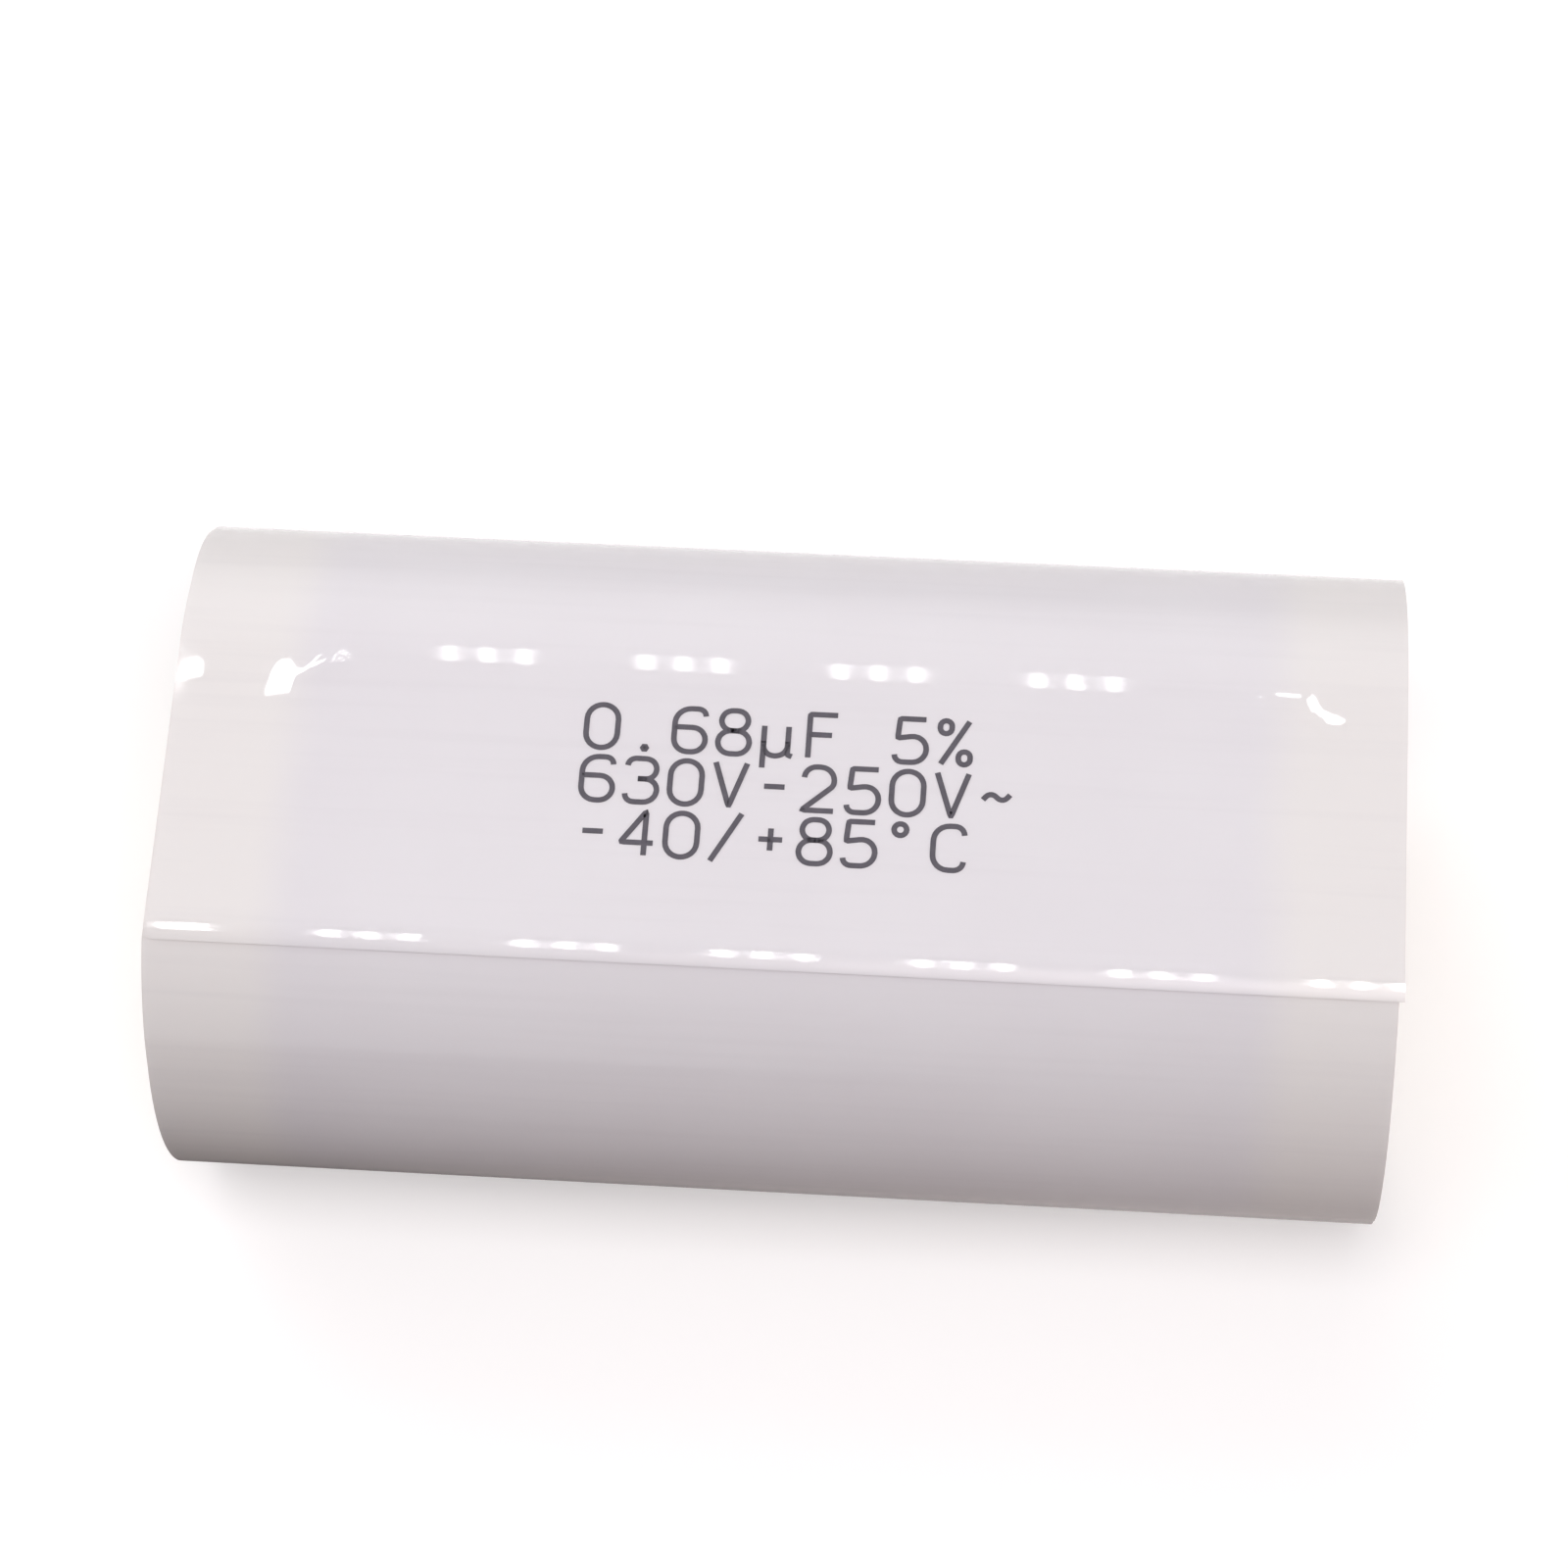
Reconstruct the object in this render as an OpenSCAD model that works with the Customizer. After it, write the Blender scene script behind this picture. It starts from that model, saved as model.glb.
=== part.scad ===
// Film capacitor, tape wrapped and resin filled.
// A roll of metallised film is pressed to an oval, sprayed with metal at both ends, wrapped in milky
// polyester tape that stands past the roll, and closed by resin poured in round the two axial leads.
// The body lies on its lower flat face: X runs along it, Y towards the back, Z up.

/* [Body] */
// Length over the edges of the tape
body_l = 34; // [26:0.5:60]
// Width of the pressed oval
body_w = 18.45; // [16:0.05:26]
// Thickness over the two flat faces
body_t = 13.85; // [10:0.05:16]
// Extra radius of the round sides over half the thickness
side_swell = 1.15; // [0.5:0.05:3]
// Radius of the tight ridges, at the front top and the back bottom
ridge_r = 1.2; // [0.9:0.1:4]
// Radius of the full shoulders, at the back top and the front bottom
shoulder_r = 6; // [2:0.1:6.5]

/* [Tape wrap] */
// Thickness of one turn of tape
tape_t = 0.08; // [0.04:0.01:0.12]
// Turns of tape in the wrap
tape_turns = 6; // [3:1:7]
// Sideways drift of the last turn at its free end, below the front ridge
lap_drift = 0.2; // [0.1:0.05:0.5]
// Sideways drift of the last turn half a turn before, at the back
lap_drift_back = 0.05; // [0.02:0.01:0.08]

/* [Ends] */
// Depth of each end fill, from the metal spray to its rim
fill_l = 2.6; // [1.6:0.1:4]
// Depth of the rim of the fill below the edge of the tape
fill_recess = 0.4; // [0.1:0.05:1]
// Hollow of the fill, where the resin shrank
dish_depth = 0.5; // [0.1:0.05:0.8]
// Thickness of the sprayed metal
spray_t = 0.5; // [0.2:0.1:1]

/* [Leads] */
// Diameter of the wire
lead_d = 1; // [0.6:0.1:1.4]
// Diameter of the nail head on the spray
head_d = 3; // [2.2:0.1:5]
// Thickness of the nail head
head_t = 0.4; // [0.2:0.1:0.8]
// Diameter of the solder cone where it starts on the head
solder_d = 2; // [1.6:0.1:2.2]
// Length of the clipped wire past the edge of the tape
lead_past = 0.3; // [0.1:0.1:30]
// Half angle of the two cutter bevels at the end of the wire
clip_angle = 62; // [45:1:80]

/* [Hidden] */
$fn = 96;
dish_facets = 180;
// Hair by which the edges stand proud, so that each arc crosses the faces it blends into
edge_lift = 0.001;
// Angle by which one half of a section runs on under the other
foot_overlap = 8;

tape_wall = tape_t * tape_turns;
side_r = body_t / 2 + side_swell;
side_y = body_w / 2 - side_r;

// Centre of an edge of radius r, from the middle of the section: it touches a flat face and a round side
function edge_centre(r) = [
    side_y + sqrt(pow(side_r - r, 2) - pow(body_t / 2 - r, 2)),
    body_t / 2 - r,
];
// Lean from upright of the surface where an edge runs out into the round side
function foot_lean(r) = atan2(edge_centre(r)[0] - side_y, edge_centre(r)[1]);

ridge_y = edge_centre(ridge_r)[0];
ridge_z = edge_centre(ridge_r)[1];
ridge_lean = foot_lean(ridge_r);
shoulder_y = edge_centre(shoulder_r)[0];

// The tape is a spiral: its lower half lies half a turn in, so that it meets the upper half at the back
// and leaves a step of one turn at the front, where its free end lies at the foot of the ridge
lower_inset = tape_t / 2;
lower_shift = lower_inset * [sin(ridge_lean), -cos(ridge_lean)];
mid_z = body_t / 2 - lower_inset - lower_shift[1];

turns_x = body_l / 2 - lap_drift;
rim_x = body_l / 2 - fill_recess;
spray_x = rim_x - fill_l;
winding_x = spray_x - spray_t;
dish_x = rim_x - dish_depth;
dish_r = (body_w * body_w / 4 + dish_depth * dish_depth) / (2 * dish_depth);
tip_x = body_l / 2 + lead_past;

seam_y = -side_y - side_r * sin(ridge_lean);
function drift_at(y) =
    lap_drift_back + (lap_drift - lap_drift_back) * (body_w / 2 - y) / (body_w / 2 - seam_y);

// Slice of a disc between two angles
module slice(r, from, to) {
    intersection() {
        circle(r);
        polygon([[0, 0], for (a = [from, (from + to) / 2, to]) 2 * r * [cos(a), sin(a)]]);
    }
}

// Half of the section, from the front ridge over the top and the back shoulder to the foot of the back ridge.
// The ridge or the round side may run on past the foot, to lie under the other half.
module oval_half(inset, ridge_past, side_past) {
    translate([-ridge_y, ridge_z])
        slice(ridge_r - inset + edge_lift, 0, 90 + ridge_lean + ridge_past);
    translate(edge_centre(shoulder_r)) circle(shoulder_r - inset + edge_lift);
    translate([side_y, 0])
        slice(side_r - inset, ridge_lean - 90 - side_past, 90 - foot_lean(shoulder_r));
    polygon([
        [-ridge_y, body_t / 2 - inset],
        [-ridge_y - ridge_r, -body_t / 4],
        [ridge_y, -body_t / 4],
        [shoulder_y, body_t / 2 - inset],
    ]);
}

// Section of the roll, pressed between plates: the same half twice, turned about the middle
module pressed_oval(inset) {
    oval_half(inset, foot_overlap, 0);
    rotate(180) oval_half(inset, foot_overlap, 0);
}

// Outline of the wrapped tape
module tape_outline() {
    oval_half(0, 0, 0);
    translate(lower_shift) rotate(180) oval_half(lower_inset, foot_overlap, foot_overlap / 4);
}

// Carries a section along the body from one X to another
module along_body(from, to) {
    translate([from, 0, mid_z]) rotate([90, 0, 90]) linear_extrude(to - from) children();
}

// Everything above the free end of the tape at the front and above the middle at the back
module over_seam() {
    reach = body_w + body_t;
    polygon([
        [-side_y, 0],
        [reach, 0],
        [reach, reach],
        [-reach, reach],
        [-side_y - reach * sin(ridge_lean), reach * cos(ridge_lean)],
    ]);
}

// Seen from above, everything left of an edge of the last turn, which lies a little askew
module left_of_edge(edge_x) {
    polygon([
        [-body_l, -body_w],
        [edge_x + drift_at(-body_w), -body_w],
        [edge_x + drift_at(body_w), body_w],
        [-body_l, body_w],
    ]);
}

// The last turn standing past the others at the right
module lap_lip() {
    intersection() {
        along_body(turns_x, body_l) difference() {
            intersection() {
                tape_outline();
                over_seam();
            }
            pressed_oval(tape_t);
        }
        linear_extrude(2 * body_t) left_of_edge(turns_x);
    }
}

// The strip of the turn below that the last turn leaves bare at the left
module lap_step() {
    intersection() {
        along_body(-body_l, 0) difference() {
            over_seam();
            pressed_oval(tape_t);
        }
        linear_extrude(2 * body_t) left_of_edge(-body_l / 2);
    }
}

// Polyester tape wound round the roll and past its ends, a thin sleeve
module tape_wrap() {
    color([0.9, 0.88, 0.9]) difference() {
        union() {
            along_body(-body_l / 2, turns_x) difference() {
                tape_outline();
                pressed_oval(tape_wall);
            }
            lap_lip();
        }
        lap_step();
    }
}

// Metallised film, rolled up and pressed: its turns are one solid
module film_winding() {
    color([0.72, 0.7, 0.74]) along_body(-winding_x, winding_x) pressed_oval(tape_wall);
}

// Zinc sprayed over the end of the roll, which joins the edges of the film
module end_spray() {
    color([0.55, 0.56, 0.58]) along_body(winding_x, spray_x) pressed_oval(tape_wall);
}

// Turned form of a lead: a nail head, its cone of solder and the wire
module lead_form() {
    translate([spray_x, 0, mid_z]) rotate([0, 90, 0]) rotate_extrude() polygon([
        [0, 0],
        [head_d / 2, 0],
        [head_d / 2, head_t],
        [solder_d / 2, head_t],
        [lead_d / 2, dish_x - spray_x],
        [lead_d / 2, tip_x - spray_x],
        [0, tip_x - spray_x],
    ]);
}

// What the cutters take off the wire: two bevels that meet on a line across it
module clip_bevels() {
    for (flip = [0, 1])
        translate([tip_x, 0, mid_z]) mirror([0, 0, flip]) rotate([0, clip_angle - 90, 0])
            translate([0, -lead_d, 0]) cube(2 * lead_d);
}

// Tinned copper wire, its head on the spray and its end clipped close to the body
module lead() {
    color([0.75, 0.75, 0.74]) difference() {
        lead_form();
        clip_bevels();
    }
}

// Resin poured into the open end of the tape, hollow where it shrank and shaped round the lead
module end_fill() {
    color([0.87, 0.84, 0.79]) difference() {
        along_body(spray_x, rim_x) pressed_oval(tape_wall);
        translate([dish_x + dish_r, 0, mid_z]) sphere(dish_r, $fn = dish_facets);
        lead_form();
    }
}

module to_left() {
    mirror([1, 0, 0]) children();
}

module end_spray_left() to_left() end_spray();
module end_spray_right() end_spray();
module end_fill_left() to_left() end_fill();
module end_fill_right() end_fill();
module lead_left() to_left() lead();
module lead_right() lead();

tape_wrap();
film_winding();
end_spray_left();
end_spray_right();
end_fill_left();
end_fill_right();
lead_left();
lead_right();
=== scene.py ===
# Film capacitor: a pressed roll in milky tape, closed by resin, with its leads clipped close to the body.
# The sections follow the order in which the part is put together. Lengths are in metres.
import math

import bpy
from mathutils import Matrix, Vector


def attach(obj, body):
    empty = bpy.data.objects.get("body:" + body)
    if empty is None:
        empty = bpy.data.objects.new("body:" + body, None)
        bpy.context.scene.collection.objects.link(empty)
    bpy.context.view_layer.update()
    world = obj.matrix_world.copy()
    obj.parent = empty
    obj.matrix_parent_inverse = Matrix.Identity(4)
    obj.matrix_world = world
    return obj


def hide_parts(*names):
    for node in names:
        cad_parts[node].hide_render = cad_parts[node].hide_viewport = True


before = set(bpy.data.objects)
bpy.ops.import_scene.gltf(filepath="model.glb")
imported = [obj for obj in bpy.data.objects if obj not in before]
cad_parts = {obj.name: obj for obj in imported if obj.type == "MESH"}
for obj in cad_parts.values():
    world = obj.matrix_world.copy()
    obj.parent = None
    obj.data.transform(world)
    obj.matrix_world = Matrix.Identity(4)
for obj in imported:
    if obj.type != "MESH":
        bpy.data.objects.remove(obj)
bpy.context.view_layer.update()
mm = 0.001


# Film winding
# A roll of thin polypropylene film with a metal coat a few atoms thick, pressed to an oval between plates.
# The tape and the resin close it in, so the CAD solid stays and only takes its finish here.

def linear(hex_colour):
    """Turns an sRGB hex colour into linear RGBA."""
    channels = [int(hex_colour[i:i + 2], 16) / 255 for i in (1, 3, 5)]
    return [c / 12.92 if c <= 0.04045 else ((c + 0.055) / 1.055) ** 2.4 for c in channels] + [1.0]


def add_node(tree, kind, feeds=None, **settings):
    """Adds a node with its settings. Each feed is a plain value or the output that its input is linked to."""
    node = tree.nodes.new(kind)
    for name, value in settings.items():
        setattr(node, name, value)
    for name, value in (feeds or {}).items():
        if isinstance(value, bpy.types.NodeSocket):
            tree.links.new(value, node.inputs[name])
        else:
            node.inputs[name].default_value = value
    return node


def blank_material(name):
    """A new material with an empty node tree."""
    material = bpy.data.materials.new(name)
    material.use_nodes = True
    material.node_tree.nodes.clear()
    return material, material.node_tree


# Metallised film, calendered and wound tight: a lilac silver sheen with faint lines along the roll, where the
# clear margins of the turns show through each other.
film_line = 0.6 * mm
film_line_length = 14 * mm
metallised_film, tree = blank_material("metallised_film")
place = add_node(tree, "ShaderNodeMapping", {
    "Vector": add_node(tree, "ShaderNodeTexCoord").outputs["Object"],
    "Scale": (1 / film_line_length, 1 / film_line, 1 / film_line),
}).outputs["Vector"]
margins = add_node(tree, "ShaderNodeTexNoise", {
    "Vector": place,
    "Scale": 1.0,
    "Detail": 3.0,
}).outputs["Fac"]
tone = add_node(tree, "ShaderNodeMix", {
    0: margins,
    6: linear("#A9A3B1"),
    7: linear("#C6C2CB"),
}, data_type="RGBA")
gloss = add_node(tree, "ShaderNodeMapRange", {"Value": margins, "To Min": 0.22, "To Max": 0.38})
relief = add_node(tree, "ShaderNodeBump", {"Height": margins, "Strength": 0.15, "Distance": 0.02 * mm})
coat = add_node(tree, "ShaderNodeBsdfPrincipled", {
    "Base Color": tone.outputs[2],
    "Metallic": 0.7,
    "Roughness": gloss.outputs["Result"],
    "Normal": relief.outputs["Normal"],
})
add_node(tree, "ShaderNodeOutputMaterial", {"Surface": coat.outputs["BSDF"]})
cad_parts["film_winding"].data.materials.clear()
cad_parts["film_winding"].data.materials.append(metallised_film)


# End sprays
# Molten zinc blown on both ends of the roll in fine drops, which joins the edges of all the turns of film.
# Each is a crust half a millimetre thick under the resin, so the CAD solids stay.

# Sprayed zinc, never machined: a dull grey grit of flattened drops, darker in its pores.
spray_drop = 0.18 * mm
sprayed_zinc, tree = blank_material("sprayed_zinc")
place = add_node(tree, "ShaderNodeTexCoord").outputs["Object"]
drops = add_node(tree, "ShaderNodeTexVoronoi", {
    "Vector": place,
    "Scale": 1 / spray_drop,
}).outputs["Distance"]
pores = add_node(tree, "ShaderNodeTexNoise", {"Vector": place, "Scale": 0.4 / spray_drop, "Detail": 4.0})
tone = add_node(tree, "ShaderNodeMix", {
    0: pores.outputs["Fac"],
    6: linear("#7E8184"),
    7: linear("#A5A8AB"),
}, data_type="RGBA")
relief = add_node(tree, "ShaderNodeBump", {"Height": drops, "Strength": 0.7, "Distance": 0.05 * mm})
crust = add_node(tree, "ShaderNodeBsdfPrincipled", {
    "Base Color": tone.outputs[2],
    "Metallic": 0.85,
    "Roughness": 0.62,
    "Normal": relief.outputs["Normal"],
})
add_node(tree, "ShaderNodeOutputMaterial", {"Surface": crust.outputs["BSDF"]})
for node in ("end_spray_left", "end_spray_right"):
    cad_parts[node].data.materials.clear()
    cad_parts[node].data.materials.append(sprayed_zinc)


# Leads
# Tinned copper wire with a nail head, soldered to the spray and then clipped close to the body with cutters.
# Only a stub shows in the hollow of the resin. Its turned form and two bevels are right in the CAD solids.

# Drawn and tinned copper: a soft silver with fine lines along the wire, and bare copper on the cut faces.
draw_line = 0.05 * mm
draw_line_length = 3 * mm
cut_from = 17.0 * mm
cut_lean = 0.6
tinned_copper, tree = blank_material("tinned_copper")
coords = add_node(tree, "ShaderNodeTexCoord").outputs
place = add_node(tree, "ShaderNodeMapping", {
    "Vector": coords["Object"],
    "Scale": (1 / draw_line_length, 1 / draw_line, 1 / draw_line),
}).outputs["Vector"]
lines = add_node(tree, "ShaderNodeTexNoise", {"Vector": place, "Scale": 1.0, "Detail": 2.0}).outputs["Fac"]
along = add_node(tree, "ShaderNodeSeparateXYZ", {"Vector": coords["Object"]}).outputs["X"]
facing = add_node(tree, "ShaderNodeSeparateXYZ", {"Vector": coords["Normal"]}).outputs["X"]
at_end = add_node(tree, "ShaderNodeMath", {
    0: add_node(tree, "ShaderNodeMath", {0: along}, operation="ABSOLUTE").outputs[0],
    1: cut_from,
}, operation="GREATER_THAN").outputs[0]
cut_face = add_node(tree, "ShaderNodeMath", {
    0: add_node(tree, "ShaderNodeMath", {0: facing}, operation="ABSOLUTE").outputs[0],
    1: cut_lean,
}, operation="GREATER_THAN").outputs[0]
bare = add_node(tree, "ShaderNodeMath", {0: at_end, 1: cut_face}, operation="MULTIPLY").outputs[0]
tin = add_node(tree, "ShaderNodeMix", {
    0: lines,
    6: linear("#B4B4B0"),
    7: linear("#D2D2CE"),
}, data_type="RGBA")
skin = add_node(tree, "ShaderNodeMix", {0: bare, 6: tin.outputs[2], 7: linear("#B39C8C")}, data_type="RGBA")
gloss = add_node(tree, "ShaderNodeMapRange", {"Value": lines, "To Min": 0.14, "To Max": 0.24})
relief = add_node(tree, "ShaderNodeBump", {"Height": lines, "Strength": 0.3, "Distance": 0.01 * mm})
wire = add_node(tree, "ShaderNodeBsdfPrincipled", {
    "Base Color": skin.outputs[2],
    "Metallic": 1.0,
    "Roughness": gloss.outputs["Result"],
    "Normal": relief.outputs["Normal"],
})
add_node(tree, "ShaderNodeOutputMaterial", {"Surface": wire.outputs["BSDF"]})
for node in ("lead_left", "lead_right"):
    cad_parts[node].data.materials.clear()
    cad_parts[node].data.materials.append(tinned_copper)


# Tape wrap
# Six turns of glossy milky polyester tape, wound tight round the roll and past both of its ends. The free end
# lies at the foot of the front ridge, a little askew, and the tape is creased where the roll ends under it.

body_width = 18.45 * mm
body_thickness = 13.85 * mm
side_swell = 1.15 * mm
side_radius = body_thickness / 2 + side_swell
side_centre = body_width / 2 - side_radius
ridge_radius = 1.2 * mm
shoulder_radius = 6 * mm
turn_pitch = 0.08 * mm
turn_count = 6
film_thickness = 0.07 * mm
last_film_thickness = 0.078 * mm
tape_left, tape_right = -17 * mm, 16.8 * mm
free_end_drift = 0.2 * mm
ridge_steps, flat_steps, shoulder_steps, side_steps = 18, 8, 36, 54
sharp_edge = math.radians(40)


def edge_centre(radius):
    """Centre of an edge that touches the flat face and the round side, from the middle of the section."""
    height = body_thickness / 2 - radius
    return side_centre + math.sqrt((side_radius - radius) ** 2 - height ** 2), height


def foot_lean(radius):
    """Lean from upright of the surface where an edge runs out into the round side."""
    across, height = edge_centre(radius)
    return math.atan2(across - side_centre, height)


ridge_lean = foot_lean(ridge_radius)
half_turn_shift = Vector((0, turn_pitch / 2 * math.sin(ridge_lean), -turn_pitch / 2 * math.cos(ridge_lean)))
middle = Vector((0, 0, body_thickness / 2 - turn_pitch / 2 - half_turn_shift.z))


def half_turn(inset, top_steps):
    """Points and normals from the front ridge over the top to the foot of the back ridge."""
    ridge, shoulder = edge_centre(ridge_radius), edge_centre(shoulder_radius)
    shoulder_end = math.pi / 2 - foot_lean(shoulder_radius)
    arcs = [
        (-ridge[0], ridge[1], ridge_radius, math.pi / 2 + ridge_lean, math.pi / 2, ridge_steps),
        (shoulder[0], shoulder[1], shoulder_radius, math.pi / 2, shoulder_end, shoulder_steps),
        (side_centre, 0.0, side_radius, shoulder_end, ridge_lean - math.pi / 2, side_steps),
    ]
    run = []
    for number, (across, height, radius, start, end, steps) in enumerate(arcs):
        for step in range(steps + (number == 0)):
            angle = start + (end - start) * (step + (number > 0)) / steps
            out = Vector((0, math.cos(angle), math.sin(angle)))
            run.append((Vector((0, across, height)) + out * (radius - inset), out))
        if number == 0:
            ridge_top, out = run[-1]
            shoulder_top = Vector((0, shoulder[0], ridge_top.z))
            for step in range(1, top_steps + 1):
                run.append((ridge_top.lerp(shoulder_top, step / top_steps), out))
    return run


def tape_path(name, first, last, top_steps, drift):
    """The line of some turns as a chain of points, each with its outward direction and sideways drift."""
    half_round = Matrix.Rotation(math.pi, 3, "X")
    run = []
    for turn in range(first, last):
        inset = turn * turn_pitch
        upper = half_turn(inset, top_steps)
        lower = [
            (half_round @ p + half_turn_shift, half_round @ out)
            for p, out in half_turn(inset + turn_pitch / 2, flat_steps)
        ]
        run += (upper + lower[1:])[1 if run else 0:]
    mesh = bpy.data.meshes.new(name)
    mesh.from_pydata([p + middle for p, _ in run], [(i, i + 1) for i in range(len(run) - 1)], [])
    outward = mesh.attributes.new("outward", "FLOAT_VECTOR", "POINT")
    outward.data.foreach_set("vector", [c for _, out in run for c in out])
    sideways = mesh.attributes.new("drift", "FLOAT", "POINT")
    sideways.data.foreach_set("value", [drift(i / (len(run) - 1)) for i in range(len(run))])
    path = bpy.data.objects.new(name, mesh)
    bpy.context.collection.objects.link(path)
    return path


def grow(name, source, tree, sizes):
    """Runs a tree on a source object, keeps the result as a mesh at the origin and removes the source."""
    modifier = source.modifiers.new(tree.name, "NODES")
    modifier.node_group = tree
    for item in tree.interface.items_tree:
        if item.in_out == "INPUT" and item.name in sizes:
            modifier[item.identifier] = sizes[item.name]
    mesh = bpy.data.meshes.new_from_object(source.evaluated_get(bpy.context.evaluated_depsgraph_get()))
    source.modifiers.remove(modifier)
    bpy.data.objects.remove(source)
    piece = bpy.data.objects.new(name, mesh)
    bpy.context.collection.objects.link(piece)
    mesh.shade_smooth()
    mesh.set_sharp_from_angle(angle=sharp_edge)
    return piece


# One crease: how far it lifts the tape, by the distance from a line between two points seen from above.
crease = bpy.data.node_groups.new("crease", "GeometryNodeTree")
for name, kind in (("Start", "Vector"), ("End", "Vector"), ("Width", "Float"), ("Height", "Float")):
    crease.interface.new_socket(name, in_out="INPUT", socket_type="NodeSocket" + kind)
crease.interface.new_socket("Lift", in_out="OUTPUT", socket_type="NodeSocketFloat")
given = add_node(crease, "NodeGroupInput").outputs
plan = add_node(crease, "ShaderNodeVectorMath", {
    0: add_node(crease, "GeometryNodeInputPosition").outputs[0],
    1: (1, 1, 0),
}, operation="MULTIPLY").outputs[0]
reach = add_node(crease, "ShaderNodeVectorMath", {
    0: plan,
    1: given["Start"],
}, operation="SUBTRACT").outputs[0]
run = add_node(crease, "ShaderNodeVectorMath", {
    0: given["End"],
    1: given["Start"],
}, operation="SUBTRACT").outputs[0]
share = add_node(crease, "ShaderNodeMath", {
    0: add_node(crease, "ShaderNodeVectorMath", {
        0: reach,
        1: run,
    }, operation="DOT_PRODUCT").outputs["Value"],
    1: add_node(crease, "ShaderNodeVectorMath", {0: run, 1: run}, operation="DOT_PRODUCT").outputs["Value"],
}, operation="DIVIDE", use_clamp=True).outputs[0]
nearest = add_node(crease, "ShaderNodeVectorMath", {0: run, "Scale": share}, operation="SCALE").outputs[0]
away = add_node(crease, "ShaderNodeVectorMath", {
    0: reach,
    1: nearest,
}, operation="DISTANCE").outputs["Value"]
spread = add_node(crease, "ShaderNodeMath", {0: away, 1: given["Width"]}, operation="DIVIDE").outputs[0]
fall = add_node(crease, "ShaderNodeMath", {0: spread, 1: spread}, operation="MULTIPLY").outputs[0]
bell = add_node(crease, "ShaderNodeMath", {
    0: 1.0,
    1: add_node(crease, "ShaderNodeMath", {0: fall}, operation="EXPONENT").outputs[0],
}, operation="DIVIDE").outputs[0]
lift = add_node(crease, "ShaderNodeMath", {0: bell, 1: given["Height"]}, operation="MULTIPLY").outputs[0]
add_node(crease, "NodeGroupOutput", {"Lift": lift})

# The tape: a sheet laid along its path, with slow waves and lengthwise ripples, then given its thickness.
wound_tape = bpy.data.node_groups.new("wound_tape", "GeometryNodeTree")
for name, kind in (
    ("Path", "Geometry"), ("Left edge", "Float"), ("Right edge", "Float"), ("Stations", "Int"),
    ("Thickness", "Float"), ("Wave height", "Float"), ("Wave length", "Float"), ("Ripple height", "Float"),
    ("Ripple length", "Float"), ("Ripple width", "Float"), ("Calm edge", "Float"), ("Crease share", "Float"),
    ("Seed", "Float"), ("Finish", "Material"),
):
    wound_tape.interface.new_socket(name, in_out="INPUT", socket_type="NodeSocket" + kind)
wound_tape.interface.new_socket("Tape", in_out="OUTPUT", socket_type="NodeSocketGeometry")
given = add_node(wound_tape, "NodeGroupInput").outputs
rows = add_node(wound_tape, "GeometryNodeAttributeDomainSize", {
    "Geometry": given["Path"],
}).outputs["Point Count"]
grid = add_node(wound_tape, "GeometryNodeMeshGrid", {"Vertices X": rows, "Vertices Y": given["Stations"]})
index = add_node(wound_tape, "GeometryNodeInputIndex").outputs[0]
row = add_node(wound_tape, "FunctionNodeIntegerMath", {
    0: index,
    1: given["Stations"],
}, operation="DIVIDE_FLOOR").outputs[0]
station = add_node(wound_tape, "FunctionNodeIntegerMath", {
    0: index,
    1: given["Stations"],
}, operation="MODULO").outputs[0]
last_station = add_node(wound_tape, "ShaderNodeMath", {
    0: given["Stations"],
    1: 1.0,
}, operation="SUBTRACT").outputs[0]
across = add_node(wound_tape, "ShaderNodeMapRange", {
    "Value": station,
    "From Max": last_station,
    "To Min": given["Left edge"],
    "To Max": given["Right edge"],
}).outputs["Result"]
outward = add_node(wound_tape, "GeometryNodeInputNamedAttribute", {
    "Name": "outward",
}, data_type="FLOAT_VECTOR")
drift = add_node(wound_tape, "GeometryNodeInputNamedAttribute", {"Name": "drift"}, data_type="FLOAT")
path_point = add_node(wound_tape, "GeometryNodeSampleIndex", {
    "Geometry": given["Path"],
    "Value": add_node(wound_tape, "GeometryNodeInputPosition").outputs[0],
    "Index": row,
}, data_type="FLOAT_VECTOR").outputs[0]
path_out = add_node(wound_tape, "GeometryNodeSampleIndex", {
    "Geometry": given["Path"],
    "Value": outward.outputs["Attribute"],
    "Index": row,
}, data_type="FLOAT_VECTOR").outputs[0]
path_drift = add_node(wound_tape, "GeometryNodeSampleIndex", {
    "Geometry": given["Path"],
    "Value": drift.outputs["Attribute"],
    "Index": row,
}, data_type="FLOAT").outputs[0]
along = add_node(wound_tape, "ShaderNodeMath", {0: across, 1: path_drift}, operation="ADD").outputs[0]
laid = add_node(wound_tape, "GeometryNodeSetPosition", {
    "Geometry": add_node(wound_tape, "GeometryNodeFlipFaces", {"Mesh": grid.outputs["Mesh"]}).outputs[0],
    "Position": add_node(wound_tape, "ShaderNodeVectorMath", {
        0: path_point,
        1: add_node(wound_tape, "ShaderNodeCombineXYZ", {"X": along}).outputs[0],
    }, operation="ADD").outputs[0],
}).outputs[0]
spot = add_node(wound_tape, "GeometryNodeInputPosition").outputs[0]
wave = add_node(wound_tape, "ShaderNodeTexNoise", {
    "Vector": spot,
    "W": given["Seed"],
    "Scale": add_node(wound_tape, "ShaderNodeMath", {
        0: 1.0,
        1: given["Wave length"],
    }, operation="DIVIDE").outputs[0],
    "Detail": 1.0,
}, noise_dimensions="4D").outputs["Fac"]
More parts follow.
